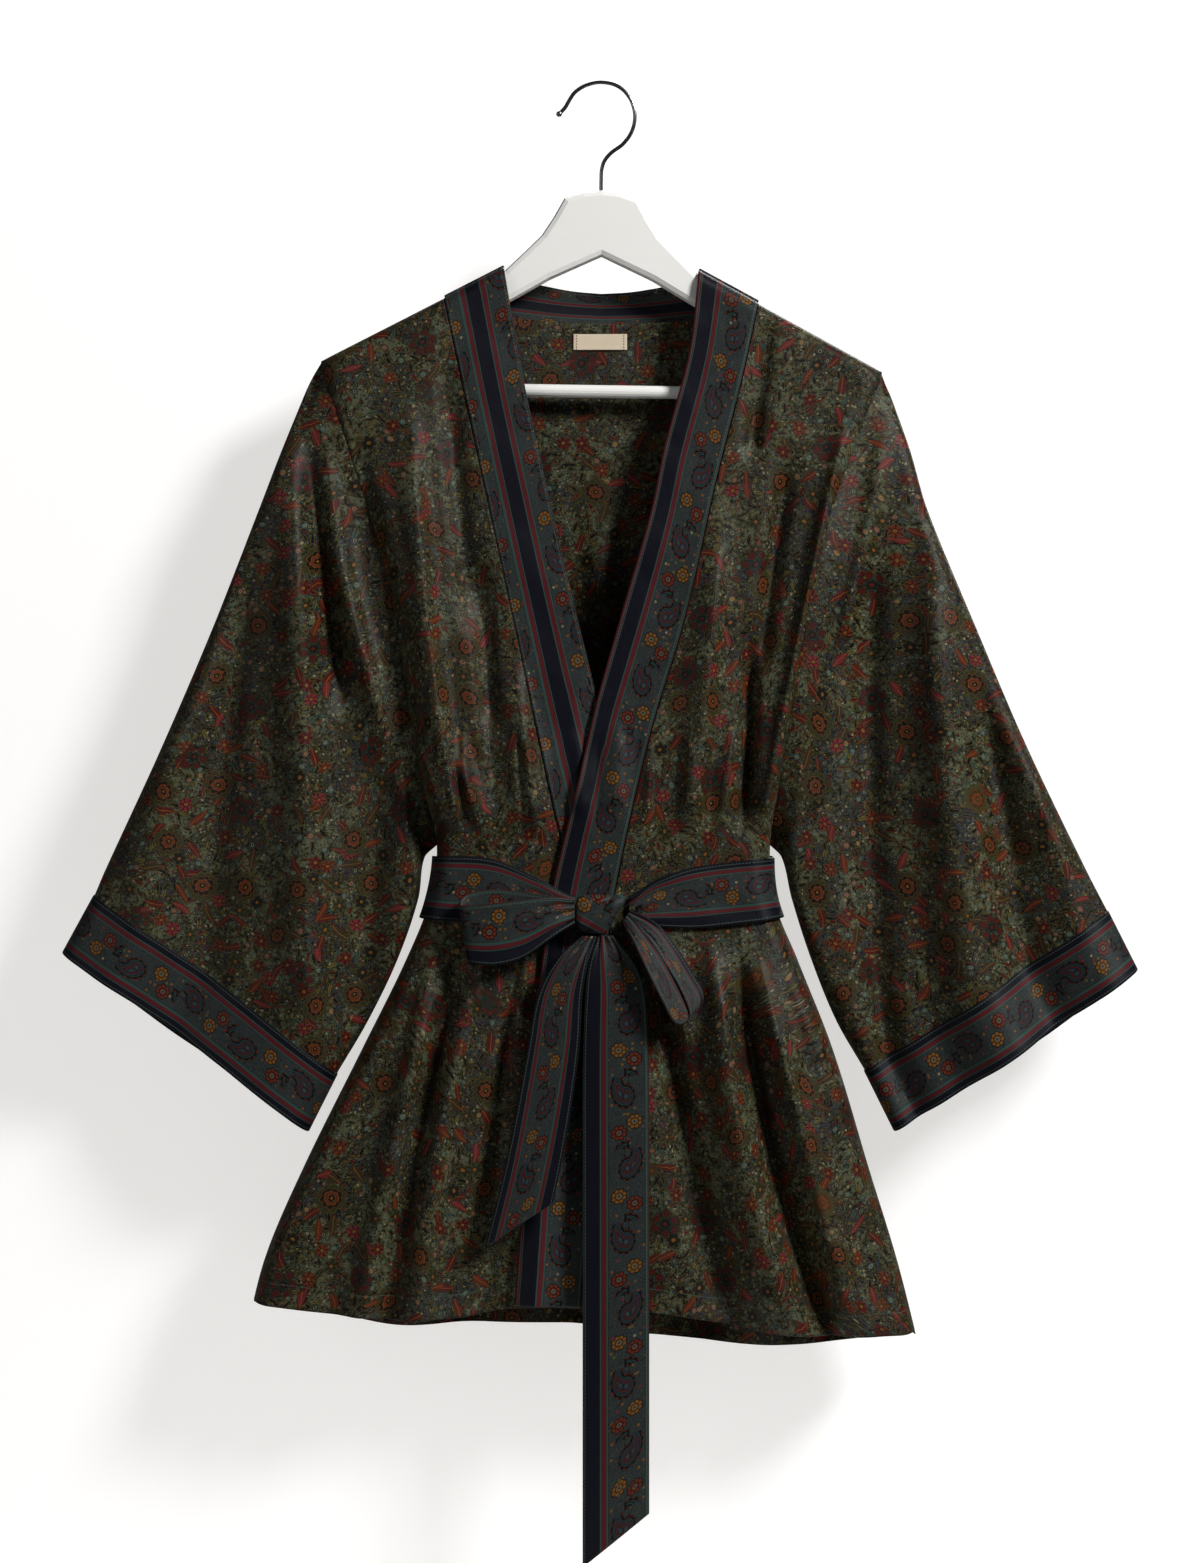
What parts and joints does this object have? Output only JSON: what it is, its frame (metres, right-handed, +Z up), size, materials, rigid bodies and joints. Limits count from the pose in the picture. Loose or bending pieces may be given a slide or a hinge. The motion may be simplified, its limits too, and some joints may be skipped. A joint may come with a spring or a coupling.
{
  "type": "kimono robe on hanger",
  "caption": "Hip-length kimono robe with wide sleeves, banded edges and a belt tied in a bow, hanging open-necked on a flat clothes hanger.",
  "frame": {"origin": "the inner crest of the hanger's hook, where a rail or peg carries it", "axes": "+Z up, along the robe's length; -Y is the front of the robe; +X is to the right of a viewer facing the front"},
  "size_m": [0.8391, 0.1117, 1.1485],
  "materials": {
    "print": "soft satin, dark flower print",
    "border": "soft satin, striped border print",
    "label": "woven tape, blank",
    "hanger": "satin white lacquer",
    "hook": "polished wire"
  },
  "bodies": {
    "root": {"back": "print", "front_left": "print", "front_right": "print", "sleeve_left": "print", "sleeve_right": "print", "cuff_left": "border", "cuff_right": "border", "band_front_left": "border", "band_front_right": "border", "band_neck": "border", "belt_waist": "border", "belt_knot": "border", "belt_loop_left": "border", "belt_loop_right": "border", "belt_tail_left": "border", "belt_tail_right": "border", "label": "label", "hanger_arms": "hanger", "hanger_bar": "hanger", "hanger_hook": "hook"}
  },
  "joints": []
}
